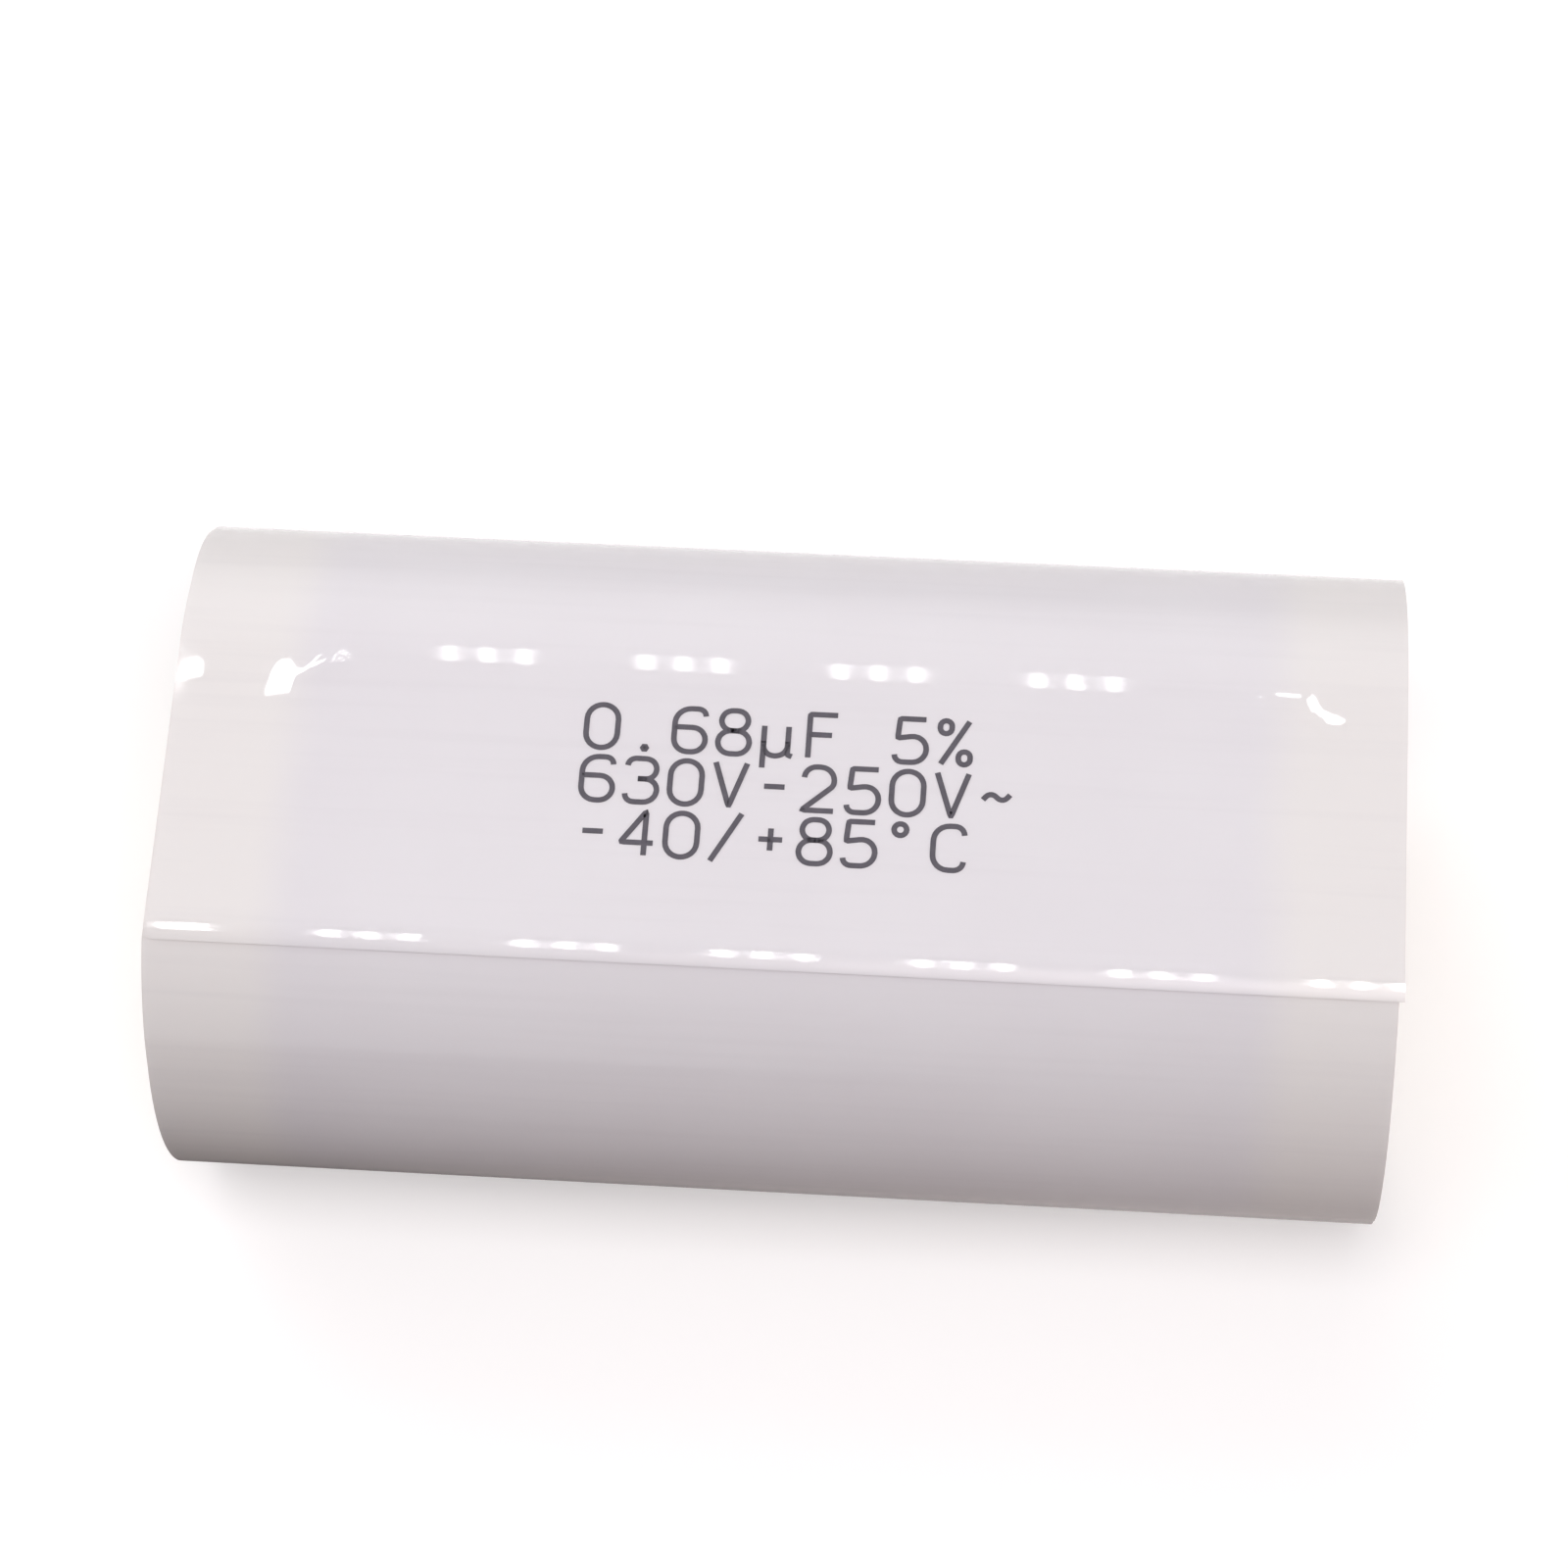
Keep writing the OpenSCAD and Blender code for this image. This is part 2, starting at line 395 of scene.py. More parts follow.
ripple_scale = add_node(wound_tape, "ShaderNodeCombineXYZ", {
    "X": given["Ripple length"],
    "Y": given["Ripple width"],
    "Z": given["Ripple width"],
}).outputs[0]
ripple = add_node(wound_tape, "ShaderNodeTexNoise", {
    "Vector": add_node(wound_tape, "ShaderNodeVectorMath", {
        0: spot,
        1: ripple_scale,
    }, operation="DIVIDE").outputs[0],
    "W": given["Seed"],
    "Scale": 1.0,
    "Detail": 2.0,
}, noise_dimensions="4D").outputs["Fac"]
noise_middle = 0.5
rise = add_node(wound_tape, "ShaderNodeMath", {
    0: add_node(wound_tape, "ShaderNodeMath", {0: wave, 1: noise_middle}, operation="SUBTRACT").outputs[0],
    1: given["Wave height"],
}, operation="MULTIPLY").outputs[0]
rise = add_node(wound_tape, "ShaderNodeMath", {
    0: add_node(wound_tape, "ShaderNodeMath", {
        0: ripple,
        1: noise_middle,
    }, operation="SUBTRACT").outputs[0],
    1: given["Ripple height"],
    2: rise,
}, operation="MULTIPLY_ADD").outputs[0]
# Each crease: start and end seen from above, half width and height, in millimetres
creases = [
    ((-16.2, 2.15), (-16.15, 2.3), 0.34, 0.009),
    ((-13.6, 1.75), (-13.5, 2.35), 0.55, 0.028),
    ((-13.3, 2.4), (-12.7, 2.75), 0.30, 0.037),
    ((13.2, 2.98), (14.0, 2.93), 0.28, 0.015),
    ((14.0, 2.93), (14.15, 2.55), 0.28, 0.018),
    ((14.15, 2.55), (14.72, 2.24), 0.28, 0.0215),
]
on_top = add_node(wound_tape, "ShaderNodeMath", {
    0: add_node(wound_tape, "ShaderNodeSeparateXYZ", {"Vector": path_out}).outputs["Z"],
    1: given["Crease share"],
}, operation="MULTIPLY", use_clamp=True).outputs[0]
folds = 0.0
for start, end, width, height in creases:
    fold = add_node(wound_tape, "GeometryNodeGroup", {
        "Start": (start[0] * mm, start[1] * mm, 0),
        "End": (end[0] * mm, end[1] * mm, 0),
        "Width": width * mm,
        "Height": height * mm,
    }, node_tree=crease).outputs["Lift"]
    folds = add_node(wound_tape, "ShaderNodeMath", {0: fold, 1: folds}, operation="MAXIMUM").outputs[0]
rise = add_node(wound_tape, "ShaderNodeMath", {
    0: folds,
    1: on_top,
    2: rise,
}, operation="MULTIPLY_ADD").outputs[0]
to_left = add_node(wound_tape, "ShaderNodeMath", {
    0: across,
    1: given["Left edge"],
}, operation="SUBTRACT").outputs[0]
to_right = add_node(wound_tape, "ShaderNodeMath", {
    0: given["Right edge"],
    1: across,
}, operation="SUBTRACT").outputs[0]
calm = add_node(wound_tape, "ShaderNodeMapRange", {
    "Value": add_node(wound_tape, "ShaderNodeMath", {
        0: to_left,
        1: to_right,
    }, operation="MINIMUM").outputs[0],
    "From Max": given["Calm edge"],
}, interpolation_type="SMOOTHSTEP").outputs["Result"]
offset = add_node(wound_tape, "ShaderNodeVectorMath", {
    0: path_out,
    "Scale": add_node(wound_tape, "ShaderNodeMath", {0: rise, 1: calm}, operation="MULTIPLY").outputs[0],
}, operation="SCALE").outputs[0]
sheet = add_node(wound_tape, "GeometryNodeSetPosition", {"Geometry": laid, "Offset": offset}).outputs[0]
under = add_node(wound_tape, "GeometryNodeExtrudeMesh", {
    "Mesh": sheet,
    "Offset Scale": add_node(wound_tape, "ShaderNodeMath", {
        0: given["Thickness"],
        1: -1.0,
    }, operation="MULTIPLY").outputs[0],
    "Individual": False,
}).outputs["Mesh"]
both = add_node(wound_tape, "GeometryNodeJoinGeometry").inputs[0]
wound_tape.links.new(add_node(wound_tape, "GeometryNodeFlipFaces", {"Mesh": under}).outputs[0], both)
wound_tape.links.new(sheet, both)
weld_distance = 0.0001 * mm
closed = add_node(wound_tape, "GeometryNodeMergeByDistance", {
    "Geometry": both.node.outputs[0],
    "Distance": weld_distance,
}).outputs[0]
whole = add_node(wound_tape, "GeometryNodeRealizeInstances", {"Geometry": closed}).outputs[0]
add_node(wound_tape, "NodeGroupOutput", {
    "Tape": add_node(wound_tape, "GeometryNodeSetMaterial", {
        "Geometry": whole,
        "Material": given["Finish"],
    }).outputs[0],
})

# Polyester film with a milky adhesive, glossy from the casting drum: lilac white over the roll and creamier
# over the resin, cloudy where the adhesive wets out, with fine lengthwise streaks from the pressed roll.
roll_end = 13.5 * mm
roll_fade = 0.9 * mm
patch = 5 * mm
streak = 0.35 * mm
streak_length = 11 * mm
streak_relief = 0.6
grain = 0.25 * mm
milky_tape, tree = blank_material("milky_polyester_tape")
place = add_node(tree, "ShaderNodeTexCoord").outputs["Object"]
clouds = add_node(tree, "ShaderNodeTexNoise", {
    "Vector": place,
    "Scale": 1 / patch,
    "Detail": 3.0,
}).outputs["Fac"]
streaks = add_node(tree, "ShaderNodeTexNoise", {
    "Vector": add_node(tree, "ShaderNodeMapping", {
        "Vector": place,
        "Scale": (1 / streak_length, 1 / streak, 1 / streak),
    }).outputs["Vector"],
    "Scale": 1.0,
    "Detail": 3.0,
}).outputs["Fac"]
distance = add_node(tree, "ShaderNodeMath", {
    0: add_node(tree, "ShaderNodeSeparateXYZ", {"Vector": place}).outputs["X"],
}, operation="ABSOLUTE").outputs[0]
wandering = add_node(tree, "ShaderNodeMath", {
    0: clouds,
    1: roll_fade,
    2: distance,
}, operation="MULTIPLY_ADD").outputs[0]
over_resin = add_node(tree, "ShaderNodeMapRange", {
    "Value": wandering,
    "From Min": roll_end - roll_fade / 2,
    "From Max": roll_end + 1.5 * roll_fade,
}, interpolation_type="SMOOTHSTEP").outputs["Result"]
over_roll = add_node(tree, "ShaderNodeMix", {
    0: clouds,
    6: linear("#E3DEE3"),
    7: linear("#E9E5E9"),
}, data_type="RGBA").outputs[2]
body_tone = add_node(tree, "ShaderNodeMix", {
    0: over_resin,
    6: over_roll,
    7: linear("#ECE7E6"),
}, data_type="RGBA").outputs[2]
streak_share = add_node(tree, "ShaderNodeMapRange", {
    "Value": streaks,
    "From Min": 0.5,
    "From Max": 0.75,
    "To Max": 0.09,
}).outputs["Result"]
tone = add_node(tree, "ShaderNodeMix", {
    0: streak_share,
    6: body_tone,
    7: linear("#CDC7CC"),
}, data_type="RGBA").outputs[2]
gloss = add_node(tree, "ShaderNodeMapRange", {
    "Value": clouds,
    "To Min": 0.03,
    "To Max": 0.04,
}).outputs["Result"]
fine = add_node(tree, "ShaderNodeTexNoise", {
    "Vector": place,
    "Scale": 1 / grain,
    "Detail": 2.0,
}).outputs["Fac"]
surface = add_node(tree, "ShaderNodeMath", {
    0: streaks,
    1: streak_relief,
    2: fine,
}, operation="MULTIPLY_ADD").outputs[0]
relief = add_node(tree, "ShaderNodeBump", {"Height": surface, "Strength": 0.1, "Distance": 0.0015 * mm})
film = add_node(tree, "ShaderNodeBsdfPrincipled", {
    "Base Color": tone,
    "Roughness": gloss,
    "IOR": 1.58,
    "Subsurface Weight": 0.12,
    "Subsurface Radius": (1.0, 0.85, 0.8),
    "Subsurface Scale": 0.5 * mm,
    "Normal": relief.outputs["Normal"],
})
add_node(tree, "ShaderNodeOutputMaterial", {"Surface": film.outputs["BSDF"]})

tape_sizes = {
    "Left edge": tape_left,
    "Right edge": tape_right,
    "Wave length": 7 * mm,
    "Ripple length": 9 * mm,
    "Ripple width": 1.1 * mm,
    "Calm edge": 0.5 * mm,
    "Seed": 4.0,
    "Finish": milky_tape,
}
creased_steps, creased_stations = 66, 169
last_turn = grow(
    "tape_last_turn",
    tape_path("last_turn_path", 0, 1, creased_steps, lambda share: free_end_drift * (1 - share) ** 2),
    wound_tape,
    {
        **tape_sizes,
        "Stations": creased_stations,
        "Thickness": last_film_thickness,
        "Wave height": 0.0015 * mm,
        "Ripple height": 0.0016 * mm,
        "Crease share": 1.0,
    },
)
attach(last_turn, "root")
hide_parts("tape_wrap")


stray_drift = 0.06 * mm
sway, sway_change, change_pace = 41, 3, 17
inner_stations = 3


def stray(share):
    """Sideways drift of the inner turns: slow sways that differ from turn to turn."""
    return stray_drift * math.sin(sway * share + sway_change * math.sin(change_pace * share))


inner_turns = grow(
    "tape_inner_turns",
    tape_path("inner_turns_path", 1, turn_count, flat_steps, stray),
    wound_tape,
    {
        **tape_sizes,
        "Stations": inner_stations,
        "Thickness": film_thickness,
        "Wave height": 0.0,
        "Ripple height": 0.0,
        "Crease share": 0.0,
    },
)
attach(inner_turns, "root")


# End fills
# Cream epoxy poured into the open ends of the tape with the leads held upright. It wets the tape and the
# wire, so it climbs a little at both, and it is hollow between because it shrank as it set.

# Hairs by which the resin runs into the tape and the wire, so that no gap shows
tape_bite, wire_bite = 0.004 * mm, 0.02 * mm
fill_inset = turn_count * turn_pitch - tape_bite
fill_back = 14 * mm
dish_floor = 16.1 * mm
dish_depth = 0.5 * mm
dish_radius = ((body_width / 2) ** 2 + dish_depth ** 2) / (2 * dish_depth)
wire_radius = 0.5 * mm
wall_climb, wall_reach = 0.2 * mm, 0.25 * mm
wire_climb, wire_reach = 0.34 * mm, 0.32 * mm
flow_length, flow_height, flow_start = 1.0 * mm, 0.018 * mm, 0.5
fill_rings = 110
# Burst bubbles: place across and up from the wire, radius and depth, in millimetres
bubbles = [
    (-5.6, 1.9, 0.34, 0.16), (-4.9, 2.5, 0.20, 0.10), (-2.7, -3.4, 0.28, 0.13), (-1.4, 4.1, 0.22, 0.10),
    (2.3, 2.6, 0.16, 0.08), (3.9, -2.2, 0.36, 0.17), (4.5, -1.5, 0.18, 0.09), (5.7, 2.0, 0.24, 0.11),
    (1.2, -4.6, 0.18, 0.08), (-6.3, -1.1, 0.17, 0.08),
]
# The lip of a bubble: its height in millimetres, and its spread as a share of the radius
lip_height, lip_spread = 0.018, 0.25


def end_fill(name, side):
    """One fill: a dished top from the tape to the wire, a wall against the tape, a back and a bore."""
    half_round = Matrix.Rotation(math.pi, 3, "X")
    upper = [p for p, _ in half_turn(fill_inset, flat_steps)]
    outline = upper[:-1] + [half_round @ p for p in upper[:-1]]
    around = len(outline)
    points, faces = [], []

    def add_ring(share, height):
        for wall in outline:
            inner = wall.normalized() * (wire_radius - wire_bite)
            spot = wall.lerp(inner, share)
            x = height if height else surface_at(spot, (spot - wall).length, (spot - inner).length)
            points.append((side * x, spot.y, spot.z + middle.z))

    def surface_at(spot, from_wall, from_wire):
        flow = math.sin(spot.y / flow_length + side) * math.sin(spot.z / flow_length + flow_start)
        dents = 0.0
        for across, up, radius, depth in bubbles:
            away = math.hypot(side * spot.y / mm - across, spot.z / mm - up) / radius
            lip = lip_height * math.exp(-((away - 1) / lip_spread) ** 2)
            dents += lip - depth * math.sqrt(max(0.0, 1 - away ** 2))
        return (
            dish_floor + spot.length_squared / (2 * dish_radius) + flow_height * flow + dents * mm
            + wall_climb * math.exp(-from_wall / wall_reach) + wire_climb * math.exp(-from_wire / wire_reach)
        )

    for ring in range(fill_rings + 1):
        turn = math.pi * ring / fill_rings
        add_ring((1 - math.cos(turn)) / 2, None)
    add_ring(1.0, fill_back)
    add_ring(0.0, fill_back)
    rings = fill_rings + 3
    for ring in range(rings):
        here, there = ring * around, (ring + 1) % rings * around
        for i in range(around):
            j = (i + 1) % around
            face = (here + i, here + j, there + j, there + i)
            faces.append(face if side < 0 else face[::-1])
    mesh = bpy.data.meshes.new(name)
    mesh.from_pydata(points, [], faces)
    mesh.shade_smooth()
    mesh.materials.append(cast_epoxy)
    piece = bpy.data.objects.new(name, mesh)
    bpy.context.collection.objects.link(piece)
    return piece


# Cast epoxy with chalk filler: cream, soft gloss, a little cloudy, with pinholes too fine to model. The
# pinholes are painted darker inside, as painted shade.
filler_cloud = 2.4 * mm
pinhole_spacing = 0.8 * mm
skin_wave = 2.2 * mm
skin_relief = 0.6
cast_epoxy, tree = blank_material("cast_cream_epoxy")
place = add_node(tree, "ShaderNodeTexCoord").outputs["Object"]
clouds = add_node(tree, "ShaderNodeTexNoise", {
    "Vector": place,
    "Scale": 1 / filler_cloud,
    "Detail": 1.0,
}).outputs["Fac"]
pour = add_node(tree, "ShaderNodeMix", {
    0: clouds,
    6: linear("#DDD2BD"),
    7: linear("#EFE8D8"),
}, data_type="RGBA").outputs[2]
cells = add_node(tree, "ShaderNodeTexVoronoi", {
    "Vector": place,
    "Scale": 1 / pinhole_spacing,
}).outputs["Distance"]
pinholes = add_node(tree, "ShaderNodeMapRange", {
    "Value": cells,
    "From Min": 0.03,
    "From Max": 0.08,
}).outputs["Result"]
# The pinholes are dents in the bump and are painted darker: painted shade in them.
tone = add_node(tree, "ShaderNodeMix", {
    0: pinholes,
    6: linear("#B7A98F"),
    7: pour,
}, data_type="RGBA").outputs[2]
skin = add_node(tree, "ShaderNodeTexNoise", {
    "Vector": place,
    "Scale": 1 / skin_wave,
    "Detail": 1.0,
}).outputs["Fac"]
surface = add_node(tree, "ShaderNodeMath", {
    0: skin,
    1: skin_relief,
    2: pinholes,
}, operation="MULTIPLY_ADD").outputs[0]
relief = add_node(tree, "ShaderNodeBump", {"Height": surface, "Strength": 0.6, "Distance": 0.03 * mm})
gloss = add_node(tree, "ShaderNodeMapRange", {
    "Value": clouds,
    "To Min": 0.14,
    "To Max": 0.24,
}).outputs["Result"]
resin = add_node(tree, "ShaderNodeBsdfPrincipled", {
    "Base Color": tone,
    "Roughness": gloss,
    "IOR": 1.54,
    "Subsurface Weight": 0.1,
    "Subsurface Radius": (1.0, 0.8, 0.6),
    "Subsurface Scale": 0.4 * mm,
    "Normal": relief.outputs["Normal"],
})
add_node(tree, "ShaderNodeOutputMaterial", {"Surface": resin.outputs["BSDF"]})
for side, hand in ((-1, "left"), (1, "right")):
    fill = end_fill(f"resin_{hand}", side)
    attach(fill, "root")
    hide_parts(f"end_fill_{hand}")


# Rating print
# A plain rating stamped on the upper flat face once the tape is on: lines of dark grey ink of one width, laid
# on the tape a hundredth of a millimetre thick. The figures are drawn on a grid of 4 by 6 units.

grid_width, grid_height = 4, 6
digit_unit = 0.215 * mm
digit_pitch = 1.21 * mm
line_pitch = 1.56 * mm
stroke_width = 0.155 * mm
ink_thickness = 0.02 * mm
drop_height, ray_length = 20 * mm, 1.0
print_step, bend_points = 0.06 * mm, 6
print_centre = (-0.2 * mm, -0.35 * mm)
rating = ["0.68µF 5%", "630V-250V~", "-40/+85°C"]
# Strokes of each sign: points across, up and the radius of the bend there. A stroke that ends where it starts
# is closed.
signs = {
    "0": [[(0, 0, 2), (4, 0, 2), (4, 6, 2), (0, 6, 2), (0, 0, 2)]],
    "2": [[(0.1, 4.5, 0), (0.1, 6, 1.7), (3.9, 6, 1.8), (3.9, 3.5, 1.2), (0, 0, 0), (4, 0, 0)]],
    "3": [[(0.1, 5, 0), (0.1, 6, 1), (3.8, 6, 1.4), (3.8, 3.2, 1.3), (1.5, 3.2, 0)],
          [(1.5, 3.2, 0), (4, 3.2, 1.5), (4, 0, 1.7), (0, 0, 1.4), (0, 1.1, 0)]],
    "4": [[(3, 0, 0), (3, 6, 0), (0, 1.7, 0), (4.1, 1.7, 0)]],
    "5": [[(3.8, 6, 0), (0.5, 6, 0), (0.3, 3.3, 0), (4, 3.9, 1.7), (4, 0, 1.8), (0, 0, 1.4), (0, 1, 0)]],
    "6": [[(3.9, 5, 0), (3.9, 6, 1.2), (0, 6, 2), (0, 0, 1.8), (4, 0, 1.7), (4, 3.4, 1.7), (0, 3.4, 0)]],
    "8": [[(0.3, 3.2, 1.4), (3.7, 3.2, 1.4), (3.7, 6, 1.4), (0.3, 6, 1.4), (0.3, 3.2, 1.4)],
          [(0, 0, 1.6), (4, 0, 1.6), (4, 3.2, 1.6), (0, 3.2, 1.6), (0, 0, 1.6)]],
    ".": [[(1.75, 0, 0.25), (2.25, 0, 0.25), (2.25, 0.5, 0.25), (1.75, 0.5, 0.25), (1.75, 0, 0.25)]],
    "/": [[(0.2, -0.3, 0), (3.8, 6.3, 0)]],
    "-": [[(0.7, 3, 0), (3.3, 3, 0)]],
    "+": [[(0.5, 3, 0), (3.5, 3, 0)], [(2, 1.5, 0), (2, 4.5, 0)]],
    "°": [[(0.6, 4.4, 0.8), (2.2, 4.4, 0.8), (2.2, 6, 0.8), (0.6, 6, 0.8), (0.6, 4.4, 0.8)]],
    "C": [[(3.9, 4.8, 0), (3.9, 6, 1.3), (0, 6, 2), (0, 0, 2), (3.9, 0, 1.3), (3.9, 1.2, 0)]],
    "~": [[(0.3, 2.6, 0), (1.2, 3.7, 0.8), (2.8, 2.3, 0.8), (3.7, 3.4, 0)]],
    "%": [[(0.3, 0, 0), (3.7, 6, 0)],
          [(0, 4.2, 0.75), (1.5, 4.2, 0.75), (1.5, 6, 0.75), (0, 6, 0.75), (0, 4.2, 0.75)],
          [(2.5, 0, 0.75), (4, 0, 0.75), (4, 1.8, 0.75), (2.5, 1.8, 0.75), (2.5, 0, 0.75)]],
    "F": [[(3.8, 6, 0), (0.3, 6, 0), (0.3, 0, 0)], [(0.3, 3.2, 0), (3.2, 3.2, 0)]],
    "V": [[(0, 6, 0), (2, 0, 0), (4, 6, 0)]],
    "µ": [[(0.2, -1.7, 0), (0.2, 4.1, 0)], [(0.2, 2, 0), (0.2, 0, 1.4), (3.3, 0, 1.5), (3.3, 2, 0)],
          [(3.3, 4.1, 0), (3.3, 0.2, 0.2), (3.9, 0, 0)]],
}
points, edges, bends = [], [], []
for number, line in enumerate(rating):
    base_y = print_centre[1] + ((len(rating) - 1) / 2 - number) * line_pitch - grid_height / 2 * digit_unit
    for column, sign in enumerate(line):
        middle_x = print_centre[0] + (column - (len(rating[0]) - 1) / 2) * digit_pitch
        base_x = middle_x - grid_width / 2 * digit_unit
        for stroke in signs.get(sign, []):
            ring = stroke[0] == stroke[-1]
            first = len(points)
            drawn = stroke[:-1] if ring else stroke
            for across, up, bend in drawn:
                points.append((base_x + across * digit_unit, base_y + up * digit_unit, 0))
                bends.append(bend * digit_unit)
            edges += [(first + i, first + i + 1) for i in range(len(drawn) - 1)]
            if ring:
                edges.append((len(points) - 1, first))
mesh = bpy.data.meshes.new("print_strokes")
mesh.from_pydata(points, edges, [])
mesh.attributes.new("bend", "FLOAT", "POINT").data.foreach_set("value", bends)
strokes = bpy.data.objects.new("print_strokes", mesh)
bpy.context.collection.objects.link(strokes)

# The print: each stroke is rounded at its bends, dropped on the tape and swept with a flat ribbon of ink.
ink_print = bpy.data.node_groups.new("ink_print", "GeometryNodeTree")
for name, kind in (
    ("Strokes", "Geometry"), ("Tape", "Object"), ("Drop height", "Float"), ("Stroke width", "Float"),
    ("Ink thickness", "Float"), ("Step", "Float"), ("Finish", "Material"),
):
    ink_print.interface.new_socket(name, in_out="INPUT", socket_type="NodeSocket" + kind)
ink_print.interface.new_socket("Print", in_out="OUTPUT", socket_type="NodeSocketGeometry")
given = add_node(ink_print, "NodeGroupInput").outputs
bend = add_node(ink_print, "GeometryNodeInputNamedAttribute", {
    "Name": "bend",
}, data_type="FLOAT").outputs["Attribute"]
rounded = add_node(ink_print, "GeometryNodeFilletCurve", {
    "Curve": add_node(ink_print, "GeometryNodeMeshToCurve", {"Mesh": given["Strokes"]}).outputs["Curve"],
    "Count": bend_points,
    "Radius": bend,
    "Limit Radius": True,
}, mode="POLY").outputs["Curve"]
stepped = add_node(ink_print, "GeometryNodeResampleCurve", {
    "Curve": rounded,
    "Length": given["Step"],
}, mode="LENGTH").outputs["Curve"]
above = add_node(ink_print, "ShaderNodeVectorMath", {
    0: add_node(ink_print, "GeometryNodeInputPosition").outputs[0],
    1: add_node(ink_print, "ShaderNodeCombineXYZ", {"Z": given["Drop height"]}).outputs[0],
}, operation="ADD").outputs[0]
landing = add_node(ink_print, "GeometryNodeRaycast", {
    "Target Geometry": add_node(ink_print, "GeometryNodeObjectInfo", {
        "Object": given["Tape"],
    }).outputs["Geometry"],
    "Source Position": above,
    "Ray Direction": (0, 0, -1),
    "Ray Length": ray_length,
}).outputs["Hit Position"]
laid = add_node(ink_print, "GeometryNodeSetPosition", {"Geometry": stepped, "Position": landing}).outputs[0]
upright = add_node(ink_print, "GeometryNodeSetCurveNormal", {"Curve": laid}, mode="Z_UP").outputs[0]
ribbon = add_node(ink_print, "GeometryNodeCurvePrimitiveQuadrilateral", {
    "Width": given["Stroke width"],
    "Height": given["Ink thickness"],
}).outputs["Curve"]
swept = add_node(ink_print, "GeometryNodeCurveToMesh", {
    "Curve": upright,
    "Profile Curve": ribbon,
    "Fill Caps": True,
}).outputs["Mesh"]
whole = add_node(ink_print, "GeometryNodeRealizeInstances", {"Geometry": swept}).outputs[0]
add_node(ink_print, "NodeGroupOutput", {
    "Print": add_node(ink_print, "GeometryNodeSetMaterial", {
        "Geometry": whole,
        "Material": given["Finish"],
    }).outputs[0],
})

# Stamping ink, dried: dark violet grey, matt beside the tape, thin in places so that the tape greys it.
ink_patch = 0.3 * mm
stamping_ink, tree = blank_material("stamping_ink")
place = add_node(tree, "ShaderNodeTexCoord").outputs["Object"]
thin = add_node(tree, "ShaderNodeTexNoise", {
    "Vector": place,
    "Scale": 1 / ink_patch,
    "Detail": 3.0,
}).outputs["Fac"]
tone = add_node(tree, "ShaderNodeMix", {
    0: thin,
    6: linear("#3C3841"),
    7: linear("#5A555F"),
}, data_type="RGBA").outputs[2]
ink = add_node(tree, "ShaderNodeBsdfPrincipled", {"Base Color": tone, "Roughness": 0.45, "IOR": 1.5})
add_node(tree, "ShaderNodeOutputMaterial", {"Surface": ink.outputs["BSDF"]})
rating_print = grow("rating_print", strokes, ink_print, {
    "Tape": last_turn,
    "Drop height": drop_height,
    "Stroke width": stroke_width,
    "Ink thickness": ink_thickness,
    "Step": print_step,
    "Finish": stamping_ink,
})
rating_print.data.shade_flat()
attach(rating_print, "root")


# Floor
# A plain pale sheet under the part. The camera sees it lifted to white, with the shadow near the part kept.
# Glossy surfaces see it so behind the part and only a share of it before it, less to the left. The light that
# it throws back on the part is dim, a little warm and dimmer to the left. The dark sheet and the smaller
# share at the left are painted shade on the part's lower side.


def seen_rays(tree, mirrored):
    """One for rays that the camera sees straight, a share for those it sees mirrored, zero for the others."""
    rays = add_node(tree, "ShaderNodeLightPath").outputs
    return add_node(tree, "ShaderNodeMath", {
        0: rays["Is Glossy Ray"],
        1: mirrored,
        2: rays["Is Camera Ray"],
    }, operation="MULTIPLY_ADD").outputs[0]


floor_half = 1.5
floor_drop = 0.002 * mm
shade_reach = 0.06
white_from = 0.18
near_glow, white_glow = 0.3, 1.0
bounce_left, bounce_right = -20 * mm, 10 * mm
mirrored_left, mirrored_right = 0.12, 0.55
mirrored_front, mirrored_back = 0 * mm, 10 * mm
pale_sheet, tree = blank_material("pale_sheet")
place = add_node(tree, "ShaderNodeTexCoord").outputs["Object"]
far_off = add_node(tree, "ShaderNodeMapRange", {
    "Value": add_node(tree, "ShaderNodeVectorMath", {0: place}, operation="LENGTH").outputs["Value"],
    "From Min": shade_reach,
    "From Max": white_from,
}, interpolation_type="SMOOTHSTEP").outputs["Result"]
spot = add_node(tree, "ShaderNodeSeparateXYZ", {"Vector": place}).outputs
to_right = add_node(tree, "ShaderNodeMapRange", {
    "Value": spot["X"],
    "From Min": bounce_left,
    "From Max": bounce_right,
}).outputs["Result"]
# Darker to the left: painted shade that the part's lower side gets from the floor.
bounce = add_node(tree, "ShaderNodeMix", {
    0: to_right,
    6: linear("#4A403D"),
    7: linear("#7C6A64"),
}, data_type="RGBA").outputs[2]
mirrored = add_node(tree, "ShaderNodeMapRange", {
    "Value": spot["Y"],
    "From Min": mirrored_front,
    "From Max": mirrored_back,
    "To Min": add_node(tree, "ShaderNodeMapRange", {
        "Value": to_right,
        "To Min": mirrored_left,
        "To Max": mirrored_right,
    }).outputs["Result"],
}).outputs["Result"]
near_face = add_node(tree, "ShaderNodeAddShader", {
    0: add_node(tree, "ShaderNodeBsdfDiffuse", {"Color": linear("#E8E6E6")}).outputs[0],
    1: add_node(tree, "ShaderNodeEmission", {"Color": linear("#FFFFFF"), "Strength": near_glow}).outputs[0],
})
white_face = add_node(tree, "ShaderNodeMixShader", {
    0: far_off,
    1: near_face.outputs[0],
    2: add_node(tree, "ShaderNodeEmission", {
        "Color": linear("#FFFFFF"),
        "Strength": white_glow,
    }).outputs[0],
})
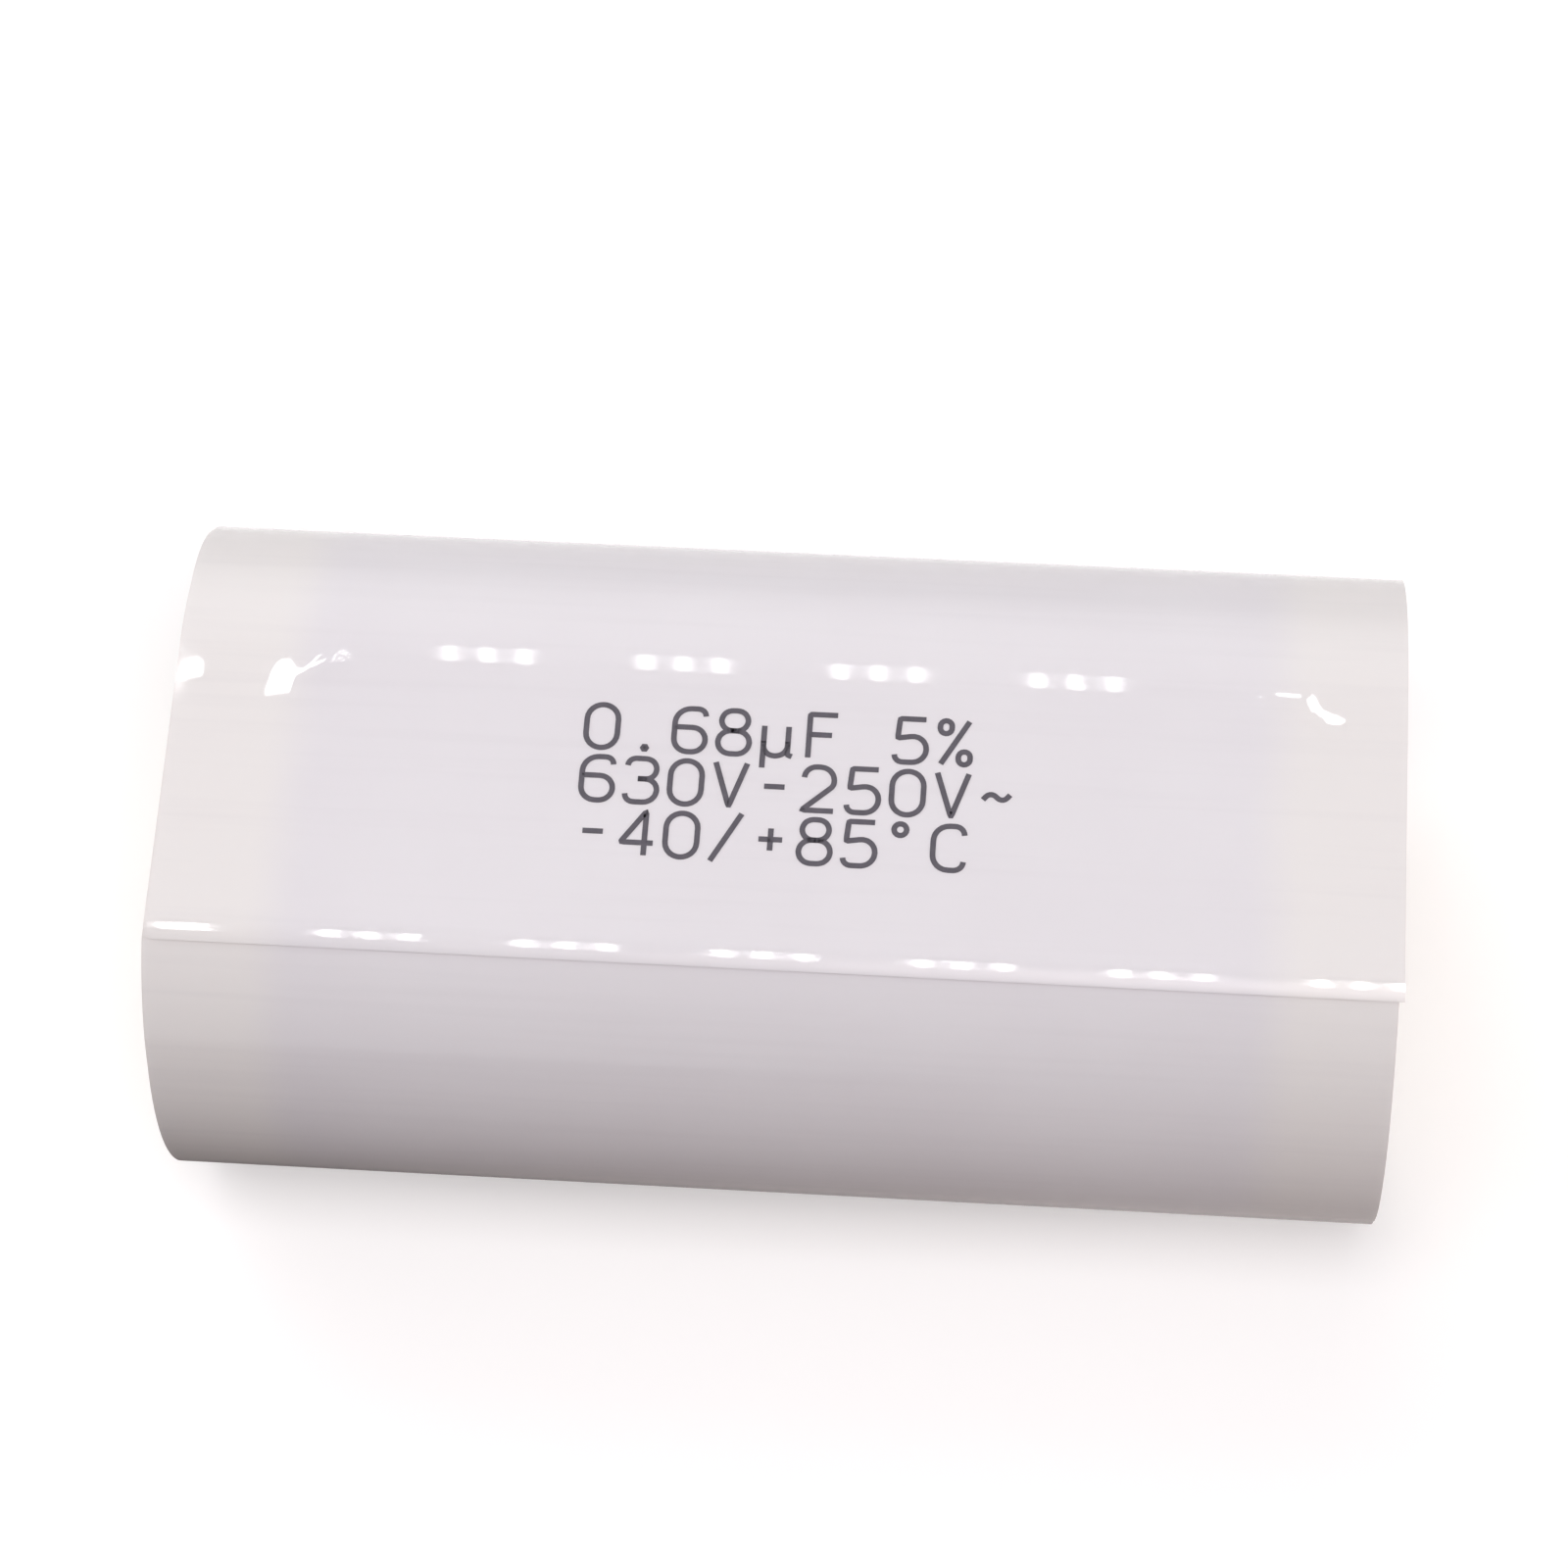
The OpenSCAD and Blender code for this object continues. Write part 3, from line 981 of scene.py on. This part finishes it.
sheet = add_node(tree, "ShaderNodeMixShader", {
    0: seen_rays(tree, mirrored),
    1: add_node(tree, "ShaderNodeBsdfDiffuse", {"Color": bounce}).outputs[0],
    2: white_face.outputs[0],
})
add_node(tree, "ShaderNodeOutputMaterial", {"Surface": sheet.outputs[0]})
mesh = bpy.data.meshes.new("floor")
corners = [(-1, -1), (1, -1), (1, 1), (-1, 1)]
mesh.from_pydata([(x * floor_half, y * floor_half, -floor_drop) for x, y in corners], [], [(0, 1, 2, 3)])
mesh.materials.append(pale_sheet)
floor = bpy.data.objects.new("floor", mesh)
bpy.context.collection.objects.link(floor)


# Light
# A soft pale room with fittings of three tubes each, in a row in front of the part and a row behind it, which
# show as dashes on the front ridge and as spots at the back shoulder. A few more past the ends only glint on
# the creases. Windows with feathered edges give the broad light.

lamp_height = 214 * mm
aim_x = 9 * mm
# Each row: its place across, the width, gap and length of its tubes, how far ahead they meet or, below zero,
# how far behind, their power, whether they light the part or only glint on it, and where along the part its
# fittings hang, in millimetres
lamp_rows = [
    ("front", -36 * mm, 0.6 * mm, 2.8 * mm, 66 * mm, -2300 * mm, 0.0045, True,
     [40.6, 27.0, 13.4, -0.2, -13.8, -27.4, -41.0]),
    ("front_end", -36 * mm, 1.0 * mm, 1.0 * mm, 66 * mm, -2300 * mm, 0.0045, True, [-53.9]),
    ("back", 114 * mm, 0.6 * mm, 2.8 * mm, 34 * mm, 720 * mm, 0.0014, True, [6.4, -8.2, -22.8, -37.4]),
    ("corner", 118 * mm, 1.4 * mm, 1.4 * mm, 12 * mm, 720 * mm, 0.0008, False, [22.2]),
    ("left_end", 111 * mm, 5 * mm, 5 * mm, 40 * mm, 720 * mm, 0.008, False, [-68.5]),
    ("right_end", 114 * mm, 5 * mm, 5 * mm, 34 * mm, 720 * mm, 0.007, False, [40.0]),
]
for row_name, row_y, tube_width, tube_gap, tube_length, fan, power, lights, fittings in lamp_rows:
    for fitting in fittings:
        for tube in (-1, 0, 1):
            lamp = bpy.data.lights.new(f"tube_{row_name}", "AREA")
            lamp.shape = "RECTANGLE"
            lamp.size, lamp.size_y = tube_width, tube_length
            lamp.energy = power
            tube_x = fitting * mm + tube * tube_gap
            holder = bpy.data.objects.new(f"tube_{row_name}", lamp)
            holder.visible_diffuse = lights
            holder.location = (tube_x, row_y, lamp_height)
            holder.rotation_euler.z = math.atan((aim_x - tube_x) / fan)
            bpy.context.collection.objects.link(holder)

# Each window: its place, its width, its power, its colour and whether glossy surfaces mirror it
windows = [
    ("back_window", (-0.12, 0.44, 0.27), 1.0, 2.7, "#FFFFFF", True),
    ("back_fill", (-0.30, 0.40, 0.27), 1.0, 3.5, "#FFFFFF", False),
    ("front_window", (0.12, -0.22, 0.48), 0.55, 3.7, "#FFF5F6", True),
    ("left_window", (-0.52, -0.05, 0.12), 0.3, 5.0, "#FFFFFF", False),
    ("right_window", (0.52, -0.05, 0.12), 0.3, 5.0, "#FFFFFF", False),
]
# From the middle of a window to its edge, as a share of its width
window_edge = 0.5
for name, spot, width, power, colour, mirrored in windows:
    lamp = bpy.data.lights.new(name, "AREA")
    lamp.shape = "SQUARE"
    lamp.size = width
    lamp.energy = power
    lamp.color = linear(colour)[:3]
    lamp.use_nodes = True
    tree = lamp.node_tree
    tree.nodes.clear()
    from_middle = add_node(tree, "ShaderNodeVectorMath", {
        0: add_node(tree, "ShaderNodeNewGeometry").outputs["Parametric"],
        1: (window_edge, window_edge, 0.0),
    }, operation="DISTANCE").outputs["Value"]
    feather = add_node(tree, "ShaderNodeMapRange", {
        "Value": from_middle,
        "From Max": window_edge,
        "To Min": 1.0,
        "To Max": 0.0,
    }, interpolation_type="SMOOTHSTEP").outputs["Result"]
    glow = add_node(tree, "ShaderNodeEmission", {"Strength": feather})
    add_node(tree, "ShaderNodeOutputLight", {"Surface": glow.outputs[0]})
    holder = bpy.data.objects.new(name, lamp)
    holder.visible_glossy = mirrored
    holder.location = spot
    holder.rotation_euler = (middle - holder.location).to_track_quat("-Z", "Y").to_euler()
    bpy.context.collection.objects.link(holder)

mirrored_room = 0.55
room_glow = 0.21
room = bpy.data.worlds.new("pale_room")
room.use_nodes = True
tree = room.node_tree
tree.nodes.clear()
walls = add_node(tree, "ShaderNodeMixShader", {
    0: seen_rays(tree, mirrored_room),
    1: add_node(tree, "ShaderNodeBackground", {
        "Color": linear("#FFFDFF"),
        "Strength": room_glow,
    }).outputs[0],
    2: add_node(tree, "ShaderNodeBackground", {
        "Color": linear("#FFFFFF"),
        "Strength": white_glow,
    }).outputs[0],
})
add_node(tree, "ShaderNodeOutputWorld", {"Surface": walls.outputs[0]})
bpy.context.scene.world = room
bpy.context.scene.view_settings.view_transform = "Standard"


# Camera
# It looks down on the upper flat face from the front, turned a little to the right end and rolled. It stands
# about four lengths of the part away.

orbit, height_angle, roll = math.radians(9.28), math.radians(67.46), math.radians(-5.75)
pan, nod = math.atan(0.0017), math.atan(0.0180)
view_distance = 140 * mm
turned = Matrix.Rotation(orbit, 4, "Z") @ Matrix.Rotation(math.pi / 2 - height_angle, 4, "X")
aimed = turned @ Matrix.Rotation(roll, 4, "Z") @ Matrix.Rotation(pan, 4, "Y") @ Matrix.Rotation(nod, 4, "X")
camera = bpy.data.cameras.new("camera")
camera.sensor_width = 36.0
camera.lens = 112.66
camera.clip_start = 1 * mm
camera.clip_end = 10.0
viewer = bpy.data.objects.new("camera", camera)
viewer.matrix_world = Matrix.Translation(middle + turned.col[2].to_3d() * view_distance) @ aimed
bpy.context.collection.objects.link(viewer)
bpy.context.scene.camera = viewer
